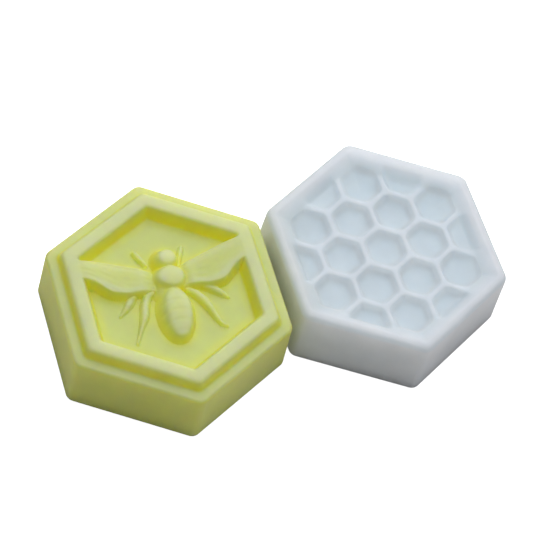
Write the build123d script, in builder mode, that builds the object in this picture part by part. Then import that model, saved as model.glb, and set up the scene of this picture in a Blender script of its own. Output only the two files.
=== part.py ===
from build123d import *
import os

# Two solid hexagonal tablets that lie side by side: one carries a bee in relief inside a
# raised frame, the other a sunk comb of hexagonal cells. Millimetres, +Z up, z = 0 on the
# table, origin midway between the two tablets. +Y is the way the bee's head points.

# ---- driving dimensions ----------------------------------------------------------------
SPACING = 69.0  # centre to centre, along X
STAGGER = 3.1  # centre to centre, along Y
COMB_YAW = 1.5  # the comb tablet lies slightly turned
CORNER_R = 3.0  # upright corners of both tablets
FOOT_R = 0.8  # edge round the underside

SHOULDER_Z = 19.9  # heights of the bee tablet
FRAME_Z = 23.0
PANEL_Z = 18.5
BEE_BODY = [(33.5, 0), (32.9, SHOULDER_Z)]  # each an apothem and its height
FRAME = [(29.4, SHOULDER_Z), (28.65, FRAME_Z)]
PANEL = [(23.2, PANEL_Z), (24.4, FRAME_Z)]
SHOULDER_R = 1.0
FRAME_R = 0.8

BODY_AXIS_Z = 17.3  # the bee's body is three round forms sunk a little into the panel
ABDOMEN = (-8.4, 9.4, 5.6)  # centre along the body, half length, radius
THORAX = (4.2, 4.6, 5.1)
HEAD = (10.7, 3.5, 4.2)
WING_H = 3.3
WING_LEAD = [(3.5, 6.8), (13.2, 10.8), (25.2, 14.3)]  # root to tip, front edge
WING_TRAIL = [(25.2, 6.2), (20.4, 2.6), (12.5, -0.4), (3.5, -0.3)]  # tip to root
LEG_H = 1.7
ANTENNA_H = 1.3
LIMBS = [  # one side's: start, radius there, end, radius there, height
    ((3.0, 0.6), 1.0, (9.6, -3.8), 1.3, LEG_H),  # hind leg
    ((9.6, -3.8), 1.3, (12.0, -9.4), 0.9, LEG_H),
    ((12.0, -9.4), 0.7, (13.8, -14.2), 0.4, LEG_H),
    ((3.0, 2.4), 0.9, (12.6, -1.8), 1.1, LEG_H),  # middle leg
    ((12.6, -1.8), 1.1, (16.9, -5.5), 0.4, LEG_H),
    ((2.4, 10.4), 0.6, (5.2, 11.6), 0.6, ANTENNA_H),
    ((5.2, 11.6), 0.6, (7.2, 15.0), 0.35, ANTENNA_H),
]

COMB_Z = 22.0  # heights of the comb tablet
TRAY_Z = 20.0
TRAY_FLOOR = 28.6
COMB_BODY = [(33.6, 0), (32.9, COMB_Z)]
TRAY = [(TRAY_FLOOR, TRAY_Z), (29.2, COMB_Z)]
CELL_PITCH = 13.6
CELL_WALL = 1.9
CELL_DEPTH = 3.2
CELL_DRAFT = 8  # degrees the cell walls lean
CELL_RINGS = 2
RIM_R = 1.5

# ---- derived ---------------------------------------------------------------------------
HEX_TURN = 30  # puts a corner on +Y
bee_base = Plane(origin=(-SPACING / 2, -STAGGER / 2, 0))
comb_base = Plane(origin=(SPACING / 2, STAGGER / 2, 0)).rotated((0, 0, COMB_YAW))
cell_span = range(-CELL_RINGS, CELL_RINGS + 1)
cell_steps = [(i, j) for i in cell_span for j in cell_span if abs(i + j) <= CELL_RINGS]
cell_centres = [
    (CELL_PITCH * (i + j / 2), CELL_PITCH * j * 3**0.5 / 2) for i, j in cell_steps
]


def hexagon(apothem, mode=Mode.ADD):
    """A hexagon with a corner on +Y, in the sketch in hand."""
    RegularPolygon(apothem, 6, major_radius=False, rotation=HEX_TURN, mode=mode)


# ---- bee tablet ------------------------------------------------------------------------
with BuildPart() as bee_block:
    for apothem, height in BEE_BODY:
        with BuildSketch(bee_base.offset(height)):
            hexagon(apothem)
    loft()
    fillet(bee_block.edges().filter_by(Plane.XY, reverse=True), CORNER_R)
    fillet(bee_block.edges().group_by(Axis.Z)[-1], SHOULDER_R)
    fillet(bee_block.edges().group_by(Axis.Z)[0], FOOT_R)

    for apothem, height in FRAME:
        with BuildSketch(bee_base.offset(height)):
            hexagon(apothem)
    loft()
    fillet(bee_block.edges().group_by(Axis.Z)[-1], FRAME_R)

    for apothem, height in PANEL:
        with BuildSketch(bee_base.offset(height)):
            hexagon(apothem)
    loft(mode=Mode.SUBTRACT)

    # Body: half ellipses turned about the line from tail to head.
    body_section = Plane(
        origin=bee_base.origin + Vector(0, 0, BODY_AXIS_Z), x_dir=(0, 1, 0), z_dir=(0, 0, 1)
    )
    for centre, half_length, radius in (ABDOMEN, THORAX, HEAD):
        with BuildSketch(body_section):
            with BuildLine():
                back = EllipticalCenterArc((centre, 0), half_length, radius, 0, arc_size=180)
                Line(back @ 1, back @ 0)
            make_face()
        revolve(axis=Axis(body_section.origin, body_section.x_dir))

    # Wings: one outline and its mirror image, run into the frame at the tips.
    with BuildSketch(bee_base.offset(PANEL_Z)):
        with BuildLine():
            lead = Spline(*WING_LEAD)
            trail = Spline(*WING_TRAIL)
            Line(lead @ 1, trail @ 0)
            Line(trail @ 1, lead @ 0)
        make_face()
        mirror(about=Plane.YZ)
    extrude(amount=WING_H)

    # Legs and antennae: each stretch is the hull of two circles.
    for start, start_r, end, end_r, height in LIMBS:
        with BuildSketch(bee_base.offset(PANEL_Z)):
            with Locations(start):
                Circle(start_r)
            with Locations(end):
                Circle(end_r)
            make_hull()
            mirror(about=Plane.YZ)
        extrude(amount=height)

bee_block.part.label = "bee_block"

# ---- comb tablet -----------------------------------------------------------------------
with BuildPart() as honeycomb_block:
    for apothem, height in COMB_BODY:
        with BuildSketch(comb_base.offset(height)):
            hexagon(apothem)
    loft()
    fillet(honeycomb_block.edges().filter_by(Plane.XY, reverse=True), CORNER_R)
    fillet(honeycomb_block.edges().group_by(Axis.Z)[-1], RIM_R)
    fillet(honeycomb_block.edges().group_by(Axis.Z)[0], FOOT_R)

    for apothem, height in TRAY:
        with BuildSketch(comb_base.offset(height)):
            hexagon(apothem)
    loft(mode=Mode.SUBTRACT)

    # Cells: the full hexagons, and the outer ones cut off at the tray's wall.
    with BuildSketch(comb_base.offset(TRAY_Z)):
        with Locations(*cell_centres):
            hexagon((CELL_PITCH - CELL_WALL) / 2)
        hexagon(TRAY_FLOOR, mode=Mode.INTERSECT)
    extrude(amount=-CELL_DEPTH, taper=CELL_DRAFT, mode=Mode.SUBTRACT)

honeycomb_block.part.label = "honeycomb_block"

# ---- files -----------------------------------------------------------------------------
os.makedirs("parts", exist_ok=True)
export_step(bee_block.part, "parts/bee_block.step")
export_step(honeycomb_block.part, "parts/honeycomb_block.step")
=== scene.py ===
import math

import bpy
import numpy as np
from mathutils import Matrix, Quaternion, Vector


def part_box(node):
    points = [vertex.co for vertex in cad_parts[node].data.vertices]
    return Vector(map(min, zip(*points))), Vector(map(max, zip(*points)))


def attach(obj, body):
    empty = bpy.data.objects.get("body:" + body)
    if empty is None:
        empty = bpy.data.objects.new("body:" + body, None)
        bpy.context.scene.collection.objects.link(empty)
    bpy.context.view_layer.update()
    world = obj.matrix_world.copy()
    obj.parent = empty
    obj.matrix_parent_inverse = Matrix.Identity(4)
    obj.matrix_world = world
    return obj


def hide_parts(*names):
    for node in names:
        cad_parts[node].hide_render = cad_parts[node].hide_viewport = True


# Two cast wax tablets side by side on a white table: a yellow one with a bee in relief, and a
# white one with a sunk comb. Each is one closed mesh, built about its own centre with +Z up.
# Shapes are worked out in millimetres and go to metres when their mesh is made.

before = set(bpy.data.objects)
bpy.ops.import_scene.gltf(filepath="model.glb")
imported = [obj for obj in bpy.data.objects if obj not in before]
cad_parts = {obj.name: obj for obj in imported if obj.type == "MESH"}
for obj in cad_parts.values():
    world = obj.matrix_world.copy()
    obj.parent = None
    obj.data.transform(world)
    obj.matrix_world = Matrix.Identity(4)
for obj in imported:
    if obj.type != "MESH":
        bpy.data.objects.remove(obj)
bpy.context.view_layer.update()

MM = 0.001
SIXTH = math.pi / 3  # of a turn

# ---- shared maths ----------------------------------------------------------------------


def hex_ring(apothem, corner, count):
    """count points along each side of a hexagon with a corner on +Y, rounded by corner."""
    half_side = apothem * math.tan(SIXTH / 2)
    along = np.linspace(-half_side, half_side, count, endpoint=False)
    tangent = max(corner, 1e-6) * math.tan(SIXTH / 2)  # never 0, as it divides below
    straight = half_side - tangent
    swing = np.sign(along) * np.clip((np.abs(along) - straight) / tangent, 0, 1) * SIXTH / 2
    out = apothem - corner + corner * np.cos(swing)
    side = np.clip(along, -straight, straight) + corner * np.sin(swing)
    turns = SIXTH * np.arange(6)[:, None]
    x = np.cos(turns) * out - np.sin(turns) * side
    y = np.sin(turns) * out + np.cos(turns) * side
    return np.column_stack([x.ravel(), y.ravel()])


def hex_distance(x, y, sharpness=None):
    """Apothem of the hexagon through each point. A low sharpness rounds its corners."""
    faces = [np.abs(x * math.cos(t) + y * math.sin(t)) for t in (0, SIXTH, 2 * SIXTH)]
    if sharpness is None:
        return np.max(faces, axis=0)
    return np.sum([f**sharpness for f in faces], axis=0) ** (1 / sharpness)


def ramp(value, low, high):
    """0 below low, 1 above high, and a smooth step between."""
    t = np.clip((value - low) / (high - low), 0, 1)
    return t * t * (3 - 2 * t)


def soft_max(a, b, blend):
    """The larger of two heights, with the crease between them filled over blend."""
    return (a + b + np.sqrt((a - b) ** 2 + blend**2)) / 2


def soft_min(a, b, blend):
    """The smaller of two heights, with the edge between them rounded over blend."""
    return -soft_max(-a, -b, blend)


# ---- mesh of a tablet ------------------------------------------------------------------
PROFILE_STEP = 1.0  # the furthest that two rings of the side lie apart
EDGE_POINTS = 7  # rings round each edge of a profile
UNDERSIDE_INSETS = (1.2, 3.0)  # where the rings of the underside thin out
DISH_DEPTH = 0.3
DISH_RIM = 30  # apothem where the underside starts to sink
DISH_FLAT = 10.5  # apothem where it is all the way in


def rounded_profile(rows):
    """Rings for a side, from (apothem, height, edge radius, corner radius) rows.

    Each ring is (apothem, height, corner radius).
    """
    path = []
    for i, (apothem, height, radius, corner) in enumerate(rows):
        here = np.array([apothem, height, corner])
        if radius == 0:
            path.append(here)
            continue
        before = np.array([rows[i - 1][0], rows[i - 1][1], rows[i - 1][3]]) - here
        after = np.array([rows[i + 1][0], rows[i + 1][1], rows[i + 1][3]]) - here
        b = before / np.linalg.norm(before[:2])
        a = after / np.linalg.norm(after[:2])
        opening = math.acos(np.clip(b[:2] @ a[:2], -1, 1))
        reach = radius / math.tan(opening / 2)
        # A quadratic through the two tangent points keeps the edge soft, as on cast wax.
        for t in np.linspace(0, 1, EDGE_POINTS):
            path.append(here + reach * ((1 - t) ** 2 * b + t**2 * a))
    rings = [path[0]]
    for start, end in zip(path, path[1:]):
        pieces = max(1, math.ceil(np.linalg.norm((end - start)[:2]) / PROFILE_STEP))
        rings += [start + (end - start) * k / pieces for k in range(1, pieces + 1)]
    return rings


def underside_height(apothem):
    """Height of the underside, which sinks a little, as wax does when it sets."""
    return DISH_DEPTH * (1 - float(ramp(apothem, DISH_FLAT, DISH_RIM)))


def lattice_faces(outer, inner, count):
    """Triangles between a ring of count points a side and the next ring of the lattice."""
    faces = []
    for side in range(6):
        o = [outer + (side * count + i) % (6 * count) for i in range(count + 1)]
        if count == 1:
            faces.append((o[0], o[1], inner))
            continue
        n = [inner + (side * (count - 1) + i) % (6 * (count - 1)) for i in range(count)]
        faces += [(o[i], o[i + 1], n[i]) for i in range(count)]
        faces += [(o[i + 1], n[i + 1], n[i]) for i in range(count - 1)]
    return faces


def halving_faces(outer, inner, count):
    """Faces from a ring of count points a side to one of half as many."""
    total, half = 6 * count, 3 * count
    faces = []
    for i in range(half):
        a, b, c = outer + 2 * i, outer + 2 * i + 1, outer + (2 * i + 2) % total
        p, q = inner + i, inner + (i + 1) % half
        faces += [(a, b, p), (b, q, p), (b, c, q)]
    return faces


def tablet_mesh(name, profile, count, top):
    """A closed tablet, with profile as its side and count points along each of its six sides.

    top(x, y, z) gives the finished heights of the side and top from their plain heights z.
    """
    points, faces = [], []
    size = 0

    def add_ring(apothem, corner, height, per_side):
        """Adds a ring, or a single point where per_side is 0, and returns its first index."""
        nonlocal size
        xy = hex_ring(apothem, corner, per_side) if per_side else np.zeros((1, 2))
        points.append(np.column_stack([xy, np.full(len(xy), height)]))
        size += len(xy)
        return size - len(xy)

    # Side and rim, from the foot up and in.
    starts = [add_ring(a, c, z, count) for a, z, c in profile]
    total = 6 * count
    for low, high in zip(starts, starts[1:]):
        faces += [
            (low + k, low + (k + 1) % total, high + (k + 1) % total, high + k)
            for k in range(total)
        ]

    # Top: a hexagonal lattice, each ring with one point fewer on every side.
    edge_apothem, edge_z, edge_corner = profile[-1]
    outer = starts[-1]
    for per_side in range(count - 1, -1, -1):
        apothem = edge_apothem * per_side / count
        corner = max(0.0, edge_corner - (edge_apothem - apothem))
        inner = add_ring(apothem, corner, edge_z, per_side)
        faces += lattice_faces(outer, inner, per_side + 1)
        outer = inner
    top_size = size

    # Underside: the rings thin out by halves, then a coarse lattice closes it.
    foot_apothem, _, foot_corner = profile[0]
    down = []
    outer, per_side = starts[0], count
    for inset in UNDERSIDE_INSETS:
        apothem = foot_apothem - inset
        corner = max(0.0, foot_corner - inset)
        inner = add_ring(apothem, corner, underside_height(apothem), per_side // 2)
        down += halving_faces(outer, inner, per_side)
        outer, per_side = inner, per_side // 2
    bottom_apothem, bottom_count = apothem, per_side
    for per_side in range(bottom_count - 1, -1, -1):
        apothem = bottom_apothem * per_side / bottom_count
        inner = add_ring(apothem, 0, underside_height(apothem), per_side)
        down += lattice_faces(outer, inner, per_side + 1)
        outer = inner
    faces += [face[::-1] for face in down]

    verts = np.concatenate(points)
    upper = slice(0, top_size)
    verts[upper, 2] = top(verts[upper, 0], verts[upper, 1], verts[upper, 2])
    mesh = bpy.data.meshes.new(name)
    mesh.from_pydata((verts * MM).tolist(), [], faces)
    mesh.shade_smooth()
    mesh.validate()
    tablet = bpy.data.objects.new(name, mesh)
    bpy.context.scene.collection.objects.link(tablet)
    return tablet


def place_on(tablet, node, yaw=0.0):
    """Puts a tablet built about its own centre where its CAD node lies, turned by yaw degrees."""
    low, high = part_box(node)
    centre = (low + high) / 2
    turn = Matrix.Rotation(math.radians(yaw), 4, "Z")
    tablet.data.transform(Matrix.Translation((centre.x, centre.y, low.z)) @ turn)


# ---- painted light and shade on the wax ------------------------------------------------
MESH_STEP = 0.2  # about the spacing of the points on a tablet's top
HIGHLIGHT_GAIN = 1.7  # how much sooner ground gets painted highlight as it rises than painted shade as it sinks
HIGHLIGHT_FLATNESS = 1.5  # how closely that painted highlight keeps to flat ground
HOLLOW_SHADE = 0.25  # how much painted shade the deepest flat ground gets, against level ground
STEEP_SHADE = 0.5  # how much painted shade a steep face gets
CREST_SHARE = 0.4  # how much of that a steep face near a crest is spared
PAINT_BLUR = 1.2  # millimetres that the painted light and shade is smoothed over
STEEP_TO_FLAT = (0.3, 0.95)  # upward part of the normal, from steep to flat ground
SIDE_TO_TOP = (0.08, 0.25)  # the same, from the upright sides to the top


def paint_light_and_shade(tablet, reach, depth, floor_z, side):
    """Stores painted light and shade for each point as a point attribute: 0 is painted shade in a
    hollow, 0.5 is level ground, 1 is a painted highlight on a crest.

    A point's height is set against the mean height within about reach millimetres. It counts
    as wholly proud or wholly sunk when the two are depth millimetres apart. Heights under
    floor_z count as floor_z. The upright sides get the value side, as painted shade.
    """
    mesh = tablet.data
    count = len(mesh.vertices)
    places, normals = np.empty(count * 3), np.empty(count * 3)
    mesh.vertices.foreach_get("co", places)
    mesh.vertices.foreach_get("normal", normals)
    height = np.maximum(places.reshape(-1, 3)[:, 2] / MM, floor_z)
    upward = normals.reshape(-1, 3)[:, 2]
    ends = np.empty(len(mesh.edges) * 2, int)
    mesh.edges.foreach_get("vertices", ends)
    one, other = ends[::2], ends[1::2]
    neighbours = np.bincount(ends, minlength=count)

    def averaged(values, distance):
        """values spread over about distance millimetres, by steps from point to point."""
        for _ in range(round((distance / MESH_STEP) ** 2)):
            total = np.bincount(one, values[other], count) + np.bincount(other, values[one], count)
            values = (values + total / neighbours) / 2
        return values

    proud = np.clip((height - averaged(height, reach)) / depth, -1, 1)
    flat = ramp(upward, *STEEP_TO_FLAT)
    # Painted highlight on flat crests, painted shade in hollows and on steep faces, in place of
    # light.
    crest_highlight = 0.5 * flat**HIGHLIGHT_FLATNESS * np.minimum(HIGHLIGHT_GAIN * proud, 1)
    relief = np.where(proud > 0, crest_highlight, HOLLOW_SHADE * proud)
    steep = STEEP_SHADE * (1 - flat) * (1 - CREST_SHARE * ramp(proud, 0, 1))
    upper = averaged(np.clip(0.5 + relief - steep, 0, 1), PAINT_BLUR)
    # Painted shade on the upright sides, set by side.
    painted_light = side + (upper - side) * ramp(upward, *SIDE_TO_TOP)
    mesh.attributes.new("painted_light", "FLOAT", "POINT").data.foreach_set("value", painted_light)


# ---- bee tablet ------------------------------------------------------------------------
PANEL_Z = 18.5
FRAME_Z = 23.0
BEE_PROFILE = [  # apothem, height, edge radius, corner radius
    (32.7, 0.0, 0, 2.6),
    (33.5, 0.0, 0.8, 3.0),
    (32.9, 19.9, 1.1, 3.0),
    (29.6, 19.9, 1.0, 2.2),
    (28.6, 23.0, 1.4, 2.0),
    (24.5, 23.0, 1.3, 1.4),
    (22.9, 18.5, 1.0, 1.0),
    (21.2, 18.5, 0, 0.4),
]
BEE_REACH = 26.5  # beyond this apothem the frame covers the bee
BEE_SINK = 0.02  # takes back some of what blending the bee into the panel adds
NOWHERE = -1.0  # height of a form where the form isn't

WING_LEAD = [  # front edge, root to tip
    (3.2, 7.0),
    (6.2, 8.7),
    (10.0, 10.1),
    (15.0, 11.7),
    (19.5, 13.0),
    (23.2, 13.9),
    (26.4, 14.5),
]
WING_TRAIL = [  # tip and back edge, tip to root
    (27.2, 10.0),
    (26.4, 6.8),
    (24.2, 5.9),
    (22.4, 4.9),
    (20.8, 3.6),
    (19.2, 2.0),
    (17.6, 0.8),
    (15.4, 0.1),
    (12.8, -0.4),
    (9.5, -0.4),
    (6.2, -0.2),
    (3.2, 0.2),
]
RIGHT_WING_EXTRA = 1.1  # how much further back the right wing hangs than the left
HANG_SPAN = (8, 18)  # where that comes in, outward from the bee's middle, like each span here
WING_ROOT_H = 2.0
WING_STEP = 0.9  # rise from the root onto the wing
STEP_SPAN = (4.5, 8)
WING_CLIMB = 1.5  # rise along the wing to its tip
CLIMB_SPAN = (9, 24)
WING_EDGE = (-0.5, 1.3)  # distances inside the outline between which the wing rises
COSTA = 1.5  # breadth of the raised front edge
COSTA_H = 0.4
VEINS = 5
VEIN_H = 0.06

TAIL_LENGTH = 10.2  # the abdomen's two half lengths
WAIST_LENGTH = 8.8
ABDOMEN_Y = -7.2
ABDOMEN_LEAN = 0.06  # sideways shift of the tail for each millimetre back
ABDOMEN_SLOPE = 1.45  # of its left flank
TAIL_STEEPER = 0.35  # added to that slope at the tail
FURROW_PITCH = 3.3
FURROW_DEPTH = 0.15
RIGHT_STEEPER = 1.8  # added to the slope of a body form's right flank

LIMB_FULL_R = 1.2  # a limb has its full height where it is at least this thick
LIMBS = [  # points along each limb with its radius there, then its height
    # Hind legs, right and left.
    (
        [(5.6, -0.4, 1.0), (7.6, -1.9, 1.3), (9.5, -4.6, 1.5), (10.7, -7.7, 1.2),
         (11.6, -10.6, 0.9), (12.6, -12.8, 0.75), (14.0, -14.0, 0.5)],
        2.1,
    ),
    (
        [(-5.2, 0.2, 1.1), (-7.0, -1.0, 1.3), (-8.2, -3.4, 1.5), (-9.1, -6.8, 1.4),
         (-10.6, -9.8, 0.9), (-12.0, -12.6, 0.6), (-13.3, -15.2, 0.45)],
        2.0,
    ),
    # Middle legs.
    (
        [(9.0, 1.0, 1.0), (11.8, -0.4, 1.25), (13.9, -1.8, 1.3), (15.6, -3.3, 1.0),
         (17.0, -4.6, 0.5)],
        1.8,
    ),
    ([(-10.4, 0.4, 1.1), (-12.4, -1.7, 1.45), (-13.8, -3.4, 1.0), (-16.0, -5.4, 0.4)], 1.7),
    # Antennae.
    ([(5.0, 8.2, 0.8), (5.6, 10.2, 0.9), (6.5, 12.3, 0.9), (7.5, 14.4, 0.8)], 1.7),
    ([(-4.6, 10.2, 0.7), (-5.5, 12.0, 0.9), (-6.9, 14.6, 0.95)], 2.0),
]


def smooth_outline(points, samples=12):
    """A closed Catmull-Rom curve through points."""
    p = np.array(points, float)
    before, after, further = np.roll(p, 1, 0), np.roll(p, -1, 0), np.roll(p, -2, 0)
    t = np.linspace(0, 1, samples, endpoint=False)[None, :, None]
    p, before, after, further = (q[:, None, :] for q in (p, before, after, further))
    curve = p + 0.5 * t * (
        after - before
        + t * (2 * before - 5 * p + 4 * after - further
               + t * (3 * (p - after) + further - before))
    )
    return curve.reshape(-1, 2)


def inside_distance(x, y, outline):
    """Distance from each point to a closed outline, positive inside it."""
    tiny = 1e-12
    nearest = np.full(x.shape, np.inf)
    inside = np.zeros(x.shape, bool)
    for (ax, ay), (bx, by) in zip(outline, np.roll(outline, -1, 0)):
        dx, dy = bx - ax, by - ay
        t = np.clip(((x - ax) * dx + (y - ay) * dy) / (dx * dx + dy * dy + tiny), 0, 1)
        nearest = np.minimum(nearest, np.hypot(x - ax - t * dx, y - ay - t * dy))
        crosses = (ay > y) != (by > y)
        inside ^= crosses & (x < ax + dx * (y - ay) / (dy if abs(dy) > tiny else tiny))
    return np.where(inside, nearest, -nearest)


def mound(dx, dy, half_width, half_length, height, slope=1.6, dome=0.45):
    """An oval form, steeper on its right.

    slope is how steeply its left flank climbs, and a higher dome makes its top rounder.
    """
    r = np.hypot(dx / half_width, dy / half_length)
    slant = np.hypot(dx / half_width**2, dy / half_length**2)
    inward = (1 - r) * r / np.maximum(slant, 1e-9)
    slope = slope + RIGHT_STEEPER * ramp(dx / half_width, -0.6, 0.9)
    crown = height * np.sqrt(np.clip(1 - dome * r**2, 0.2, 1))
    return np.where(r < 1, soft_min(inward * slope, crown, 1.0), NOWHERE)


def limb(x, y, start, start_r, end, end_r, height):
    """A rounded, tapered ridge from start to end, lower where it is thin."""
    dx, dy = end[0] - start[0], end[1] - start[1]
    t = np.clip(((x - start[0]) * dx + (y - start[1]) * dy) / (dx * dx + dy * dy), 0, 1)
    radius = start_r + (end_r - start_r) * t
    away = np.hypot(x - start[0] - t * dx, y - start[1] - t * dy) / radius
    tall = height * np.clip(radius / LIMB_FULL_R, 0.5, 1)
    return np.where(away < 1, tall * np.sqrt(np.clip(1 - away**2, 0, 1)), NOWHERE)


def wing_surface(x, y):
    """Height of both wings: a raised front edge, long veins, and a rise towards the tips."""
    outward = np.abs(x)
    hangs = [RIGHT_WING_EXTRA * float(ramp(tx, *HANG_SPAN)) for tx, ty in WING_TRAIL]
    right_trail = [(tx, ty - hang) for (tx, ty), hang in zip(WING_TRAIL, hangs)]
    left_edge = inside_distance(outward, y, smooth_outline(WING_LEAD + WING_TRAIL))
    right_edge = inside_distance(outward, y, smooth_outline(WING_LEAD + right_trail))
    edge = np.where(x > 0, right_edge, left_edge)

    lead = np.interp(outward, *zip(*WING_LEAD))
    trail = np.interp(outward, *zip(*WING_TRAIL[::-1]))
    trail = trail - RIGHT_WING_EXTRA * ramp(outward, *HANG_SPAN) * (x > 0)
    behind = (lead - y) / (lead - trail)

    rise = WING_ROOT_H + WING_STEP * ramp(outward, *STEP_SPAN)
    rise += WING_CLIMB * ramp(outward, *CLIMB_SPAN)
    costa = 1 - ramp(lead - y, COSTA - 0.7, COSTA + 0.5)
    rise += COSTA_H * costa * ramp(outward, 4.5, 7)
    vein = np.cos(behind * 2 * math.pi * VEINS + 1.2 * np.sin(outward * 0.4))
    broken = 0.5 + 0.5 * np.sin(outward * 1.1 + behind * 4)
    rise += VEIN_H * vein * broken * ramp(behind, 0.15, 0.3) * ramp(edge, 0.4, 1.5)
    return np.where(edge > 0, rise * ramp(edge, *WING_EDGE), NOWHERE)


def bee(x, y):
    """Height of the bee above the panel, and about 0 where there is none."""
    # Abdomen: an egg with its long end at the tail, leaning a little to the left. Its left
    # flank is steepest at the tail, and shallow furrows bow across its back.
    across = x - 0.2 - ABDOMEN_LEAN * (y + 4)
    half_length = np.where(y < ABDOMEN_Y, TAIL_LENGTH, WAIST_LENGTH)
    flank = ABDOMEN_SLOPE + TAIL_STEEPER * ramp(-y, 8, 16)
    egg = mound(across, y - ABDOMEN_Y, 5.8, half_length, height=4.5, slope=flank, dome=0.75)
    along = y + 0.035 * across**2
    furrow = 0.5 + 0.5 * np.cos((along + 4.6) * 2 * math.pi / FURROW_PITCH)
    egg = egg - FURROW_DEPTH * furrow**2 * ramp(egg, 0.4, 2.5) * ramp(-along, 2.5, 4.5)

    waist = mound(x + 1.7, y - 0.2, half_width=3.4, half_length=4.4, height=2.0, slope=1.1)
    thorax = mound(x - 0.5, y - 3.9, half_width=5.9, half_length=5.0, height=4.4)
    head = mound(x - 1.1, y - 10.4, half_width=4.5, half_length=4.2, height=4.1)
    body = soft_max(soft_max(soft_max(egg, waist, 0.8), thorax, 1.0), head, 0.7)

    height = soft_max(body, wing_surface(x, y), 0.35)
    for points, rise in LIMBS:
        for (sx, sy, sr), (ex, ey, er) in zip(points, points[1:]):
            height = soft_max(height, limb(x, y, (sx, sy), sr, (ex, ey), er, rise), 0.12)
    return height


def bee_top(x, y, z):
    """The tablet's plain heights z, with the bee on its panel."""
    near = hex_distance(x, y) < BEE_REACH
    raised = z.copy()
    raised[near] = soft_max(z[near], PANEL_Z + bee(x[near], y[near]), 0.2) - BEE_SINK
    return np.minimum(raised, FRAME_Z)


bee_tablet = tablet_mesh("bee_tablet", rounded_profile(BEE_PROFILE), count=120, top=bee_top)
# Painted shade in hollows, on steep faces and on the sides; painted highlight on crests.
paint_light_and_shade(bee_tablet, reach=3.0, depth=0.9, floor_z=PANEL_Z - 2, side=0.3)
place_on(bee_tablet, "bee_block")

# ---- honeycomb tablet ------------------------------------------------------------------
COMB_YAW = 1.5
COMB_Z = 22.0
TRAY_Z = 20.0
COMB_PROFILE = [  # apothem, height, edge radius, corner radius
    (32.8, 0.0, 0, 2.6),
    (33.6, 0.0, 0.8, 3.0),
    (32.9, 22.0, 2.1, 3.4),
    (30.3, 22.0, 1.8, 2.0),
    (26.6, 20.0, 0, 1.0),
]
TRAY_REACH = 31  # apothem that holds the whole tray
CELL_PITCH = 13.6
CELL_WALL = 1.7
CELL_DEPTH = 2.5
CELL_FILLET = 0.7  # how gently a cell's wall runs into its floor
CELL_SHARPNESS = 11  # of the cells' corners
CELL_RINGS = 2
CELL_CLIP = 28.2  # apothem where the outer cells are cut off
SHALLOW_SHARE = 0.45  # how much of their depth the far cells lose
SHALLOW_FROM, SHALLOW_TO = 19, 27
BROAD_FROM, BROAD_TO = 24.6, 29.8  # the slope of the broader side of the rim


def comb_top(x, y, z):
    """The tablet's plain heights z, with its cells sunk into the tray."""
    nearest = np.full(x.shape, np.inf)
    for i in range(-CELL_RINGS, CELL_RINGS + 1):
        for j in range(-CELL_RINGS, CELL_RINGS + 1):
            if abs(i + j) > CELL_RINGS:
                continue
            cx, cy = CELL_PITCH * (i + j / 2), CELL_PITCH * j * math.sqrt(3) / 2
            away = hex_distance(x - cx, y - cy, CELL_SHARPNESS)
            nearest = np.minimum(nearest, away)
    inside = (CELL_PITCH - CELL_WALL) / 2 - nearest
    inside = soft_min(inside, CELL_CLIP - hex_distance(x, y), 0.6)
    inside = soft_max(inside, 0, 0.25)
    depth = CELL_DEPTH * (1 - np.exp(-inside / CELL_FILLET))
    # The cells grow shallow towards the side of the rim on +X and the two sides on +Y.
    outward = [x * math.cos(t) + y * math.sin(t) for t in (0, SIXTH, 2 * SIXTH)]
    depth *= 1 - SHALLOW_SHARE * ramp(np.max(outward, axis=0), SHALLOW_FROM, SHALLOW_TO)
    # The side of the rim 60 degrees round from +X reaches further in than the rest.
    broad = TRAY_Z + (COMB_Z - TRAY_Z) * ramp(outward[1], BROAD_FROM, BROAD_TO)
    tray = (z > TRAY_Z - 2) & (hex_distance(x, y) < TRAY_REACH)
    return np.where(tray, soft_max(z - depth, broad - depth, 0.1), z)


honeycomb_tablet = tablet_mesh(
    "honeycomb_tablet", rounded_profile(COMB_PROFILE), count=136, top=comb_top
)
# Painted shade in hollows, on steep faces and on the sides; painted highlight on crests.
paint_light_and_shade(honeycomb_tablet, reach=1.6, depth=1.0, floor_z=TRAY_Z - CELL_DEPTH, side=0.05)
place_on(honeycomb_tablet, "honeycomb_block", COMB_YAW)

# ---- materials -------------------------------------------------------------------------


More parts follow.
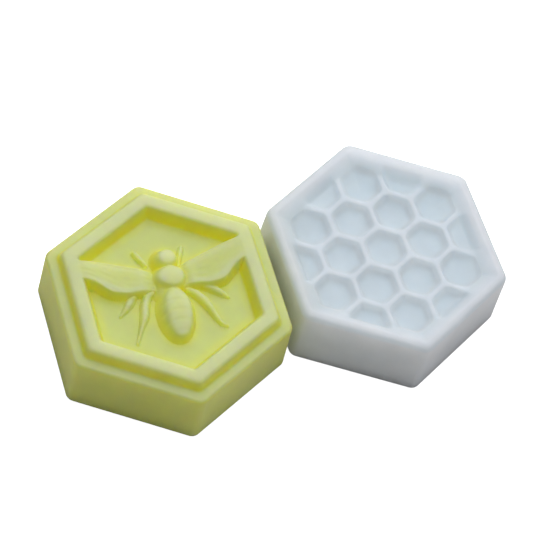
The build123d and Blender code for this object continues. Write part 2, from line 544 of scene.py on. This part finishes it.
def wax(name, hollow_shade, level, crest_highlight, scatter, reach):
    """Satin cast wax, lit through by reach metres, with painted shade in hollows and painted
    highlight on crests.
    """
    material = bpy.data.materials.new(name)
    material.use_nodes = True
    nodes, links = material.node_tree.nodes, material.node_tree.links
    shader = nodes["Principled BSDF"]
    shader.inputs["Subsurface Weight"].default_value = 1.0
    shader.inputs["Subsurface Radius"].default_value = scatter
    shader.inputs["Subsurface Scale"].default_value = reach
    shader.inputs["IOR"].default_value = 1.44

    # Colour: painted shade in hollows and painted highlight on crests, from each point's
    # attribute, a little clouded.
    painted_light = nodes.new("ShaderNodeAttribute")
    painted_light.attribute_name = "painted_light"
    painted_light_ramp = nodes.new("ShaderNodeValToRGB")
    painted_light_ramp.color_ramp.elements.new(0.5)
    for stop, colour in zip(painted_light_ramp.color_ramp.elements, (hollow_shade, level, crest_highlight)):
        stop.color = (*colour, 1)
    links.new(painted_light.outputs["Fac"], painted_light_ramp.inputs["Fac"])
    where = nodes.new("ShaderNodeTexCoord")
    cloud = nodes.new("ShaderNodeTexNoise")
    cloud.inputs["Scale"].default_value = 110
    cloud.inputs["Detail"].default_value = 5
    links.new(where.outputs["Object"], cloud.inputs["Vector"])
    shade = nodes.new("ShaderNodeMapRange")
    shade.inputs["From Min"].default_value = 0.3
    shade.inputs["From Max"].default_value = 0.7
    shade.inputs["To Min"].default_value = 0.96
    shade.inputs["To Max"].default_value = 1.03
    links.new(cloud.outputs["Fac"], shade.inputs["Value"])
    clouded = nodes.new("ShaderNodeHueSaturation")
    links.new(shade.outputs["Result"], clouded.inputs["Value"])
    links.new(painted_light_ramp.outputs["Color"], clouded.inputs["Color"])
    links.new(clouded.outputs["Color"], shader.inputs["Base Color"])

    # Skin: an uneven sheen over a fine grain.
    sheen = nodes.new("ShaderNodeMapRange")
    sheen.inputs["To Min"].default_value = 0.40
    sheen.inputs["To Max"].default_value = 0.60
    links.new(cloud.outputs["Fac"], sheen.inputs["Value"])
    links.new(sheen.outputs["Result"], shader.inputs["Roughness"])
    grain = nodes.new("ShaderNodeTexNoise")
    grain.inputs["Scale"].default_value = 700
    grain.inputs["Detail"].default_value = 3
    links.new(where.outputs["Object"], grain.inputs["Vector"])
    bump = nodes.new("ShaderNodeBump")
    bump.inputs["Strength"].default_value = 0.12
    bump.inputs["Distance"].default_value = 0.0003
    links.new(grain.outputs["Fac"], bump.inputs["Height"])
    links.new(bump.outputs["Normal"], shader.inputs["Normal"])
    return material


yellow_wax = wax(
    "yellow_wax",
    # hollow is painted shade and crest a painted highlight; level is the wax's own colour.
    hollow_shade=(0.90, 0.89, 0.06),
    level=(0.69, 0.76, 0.25),
    crest_highlight=(0.72, 0.79, 0.43),
    scatter=(1.0, 0.8, 0.12),
    reach=0.011,
)
white_wax = wax(
    "white_wax",
    # hollow is painted shade and crest a painted highlight; level is the wax's own colour.
    hollow_shade=(0.80, 0.82, 0.82),
    level=(0.73, 0.82, 0.86),
    crest_highlight=(0.84, 0.91, 1.0),
    scatter=(1.0, 0.95, 0.9),
    reach=0.015,
)
bee_tablet.data.materials.append(yellow_wax)
honeycomb_tablet.data.materials.append(white_wax)

# ---- stage -----------------------------------------------------------------------------


def floor():
    """A white table top that throws light back at the tablets, and looks plain white itself."""
    mesh = bpy.data.meshes.new("floor")
    reach = 3.0
    mesh.from_pydata(
        [(-reach, -reach, 0), (reach, -reach, 0), (reach, reach, 0), (-reach, reach, 0)],
        [],
        [(0, 1, 2, 3)],
    )
    obj = bpy.data.objects.new("floor", mesh)
    bpy.context.scene.collection.objects.link(obj)
    material = bpy.data.materials.new("white_floor")
    material.use_nodes = True
    nodes, links = material.node_tree.nodes, material.node_tree.links
    shader = nodes["Principled BSDF"]
    shader.inputs["Base Color"].default_value = (0.92, 0.92, 0.92, 1)
    shader.inputs["Roughness"].default_value = 0.9
    # The glow is almost all for the camera, so that it lifts the shadows and lights little.
    ray = nodes.new("ShaderNodeLightPath")
    glow = nodes.new("ShaderNodeMapRange")
    glow.inputs["To Min"].default_value = 0.04
    glow.inputs["To Max"].default_value = 0.85
    links.new(ray.outputs["Is Camera Ray"], glow.inputs["Value"])
    links.new(glow.outputs["Result"], shader.inputs["Emission Strength"])
    shader.inputs["Emission Color"].default_value = (1, 1, 1, 1)
    mesh.materials.append(material)


def sky(brightness, below):
    """An even dome of light, darker under the horizon, where a table would block it."""
    world = bpy.data.worlds.new("studio")
    bpy.context.scene.world = world
    world.use_nodes = True
    nodes, links = world.node_tree.nodes, world.node_tree.links
    where = nodes.new("ShaderNodeTexCoord")
    axes = nodes.new("ShaderNodeSeparateXYZ")
    links.new(where.outputs["Generated"], axes.inputs["Vector"])
    horizon = nodes.new("ShaderNodeMapRange")
    horizon.inputs["From Min"].default_value = -0.02
    horizon.inputs["From Max"].default_value = 0.02
    horizon.inputs["To Min"].default_value = below
    horizon.inputs["To Max"].default_value = brightness
    links.new(axes.outputs["Z"], horizon.inputs["Value"])
    links.new(horizon.outputs["Result"], nodes["Background"].inputs["Strength"])
    nodes["Background"].inputs["Color"].default_value = (1, 1, 1, 1)


def soft_box(name, azimuth, elevation, distance, size, power, colour=(1, 1, 1)):
    """A square area light that faces the origin. azimuth turns from +X towards +Y."""
    data = bpy.data.lights.new(name, "AREA")
    data.size = size
    data.energy = power
    data.color = colour
    lamp = bpy.data.objects.new(name, data)
    a, e = math.radians(azimuth), math.radians(elevation)
    direction = Vector((math.cos(a) * math.cos(e), math.sin(a) * math.cos(e), math.sin(e)))
    lamp.location = distance * direction
    lamp.rotation_mode = "QUATERNION"
    lamp.rotation_quaternion = lamp.location.to_track_quat("Z", "Y")
    bpy.context.scene.collection.objects.link(lamp)


def camera(target, azimuth, elevation, distance, roll, lens):
    """A camera that looks at target. Azimuth 0 looks along +Y; roll turns the picture."""
    data = bpy.data.cameras.new("camera")
    data.lens = lens
    data.clip_end = 10
    obj = bpy.data.objects.new("camera", data)
    a, e = math.radians(azimuth), math.radians(elevation)
    back = Vector((math.sin(a) * math.cos(e), -math.cos(a) * math.cos(e), math.sin(e)))
    obj.location = Vector(target) + back * distance
    obj.rotation_mode = "QUATERNION"
    aim = (-back).to_track_quat("-Z", "Y")
    obj.rotation_quaternion = aim @ Quaternion((0, 0, 1), math.radians(roll))
    bpy.context.scene.collection.objects.link(obj)
    bpy.context.scene.camera = obj


floor()
sky(brightness=0.05, below=0.0)
soft_box("top", azimuth=58, elevation=75, distance=1.0, size=1.2, power=8.9, colour=(1, 1, 1.05))
soft_box("key", azimuth=60, elevation=28, distance=1.0, size=0.9, power=2.8)
camera(
    target=(0.005, 0.0095, 0),
    azimuth=-31.64,
    elevation=56.36,
    distance=0.6725,
    roll=18.16,
    lens=143.4,
)
bpy.context.scene.view_settings.view_transform = "Standard"

# ---- hand over -------------------------------------------------------------------------
for piece, node, body, slot in (
    (bee_tablet, "bee_block", "bee_tablet", "yellow_wax"),
    (honeycomb_tablet, "honeycomb_block", "honeycomb_tablet", "white_wax"),
):
    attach(piece, body)
    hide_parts(node)
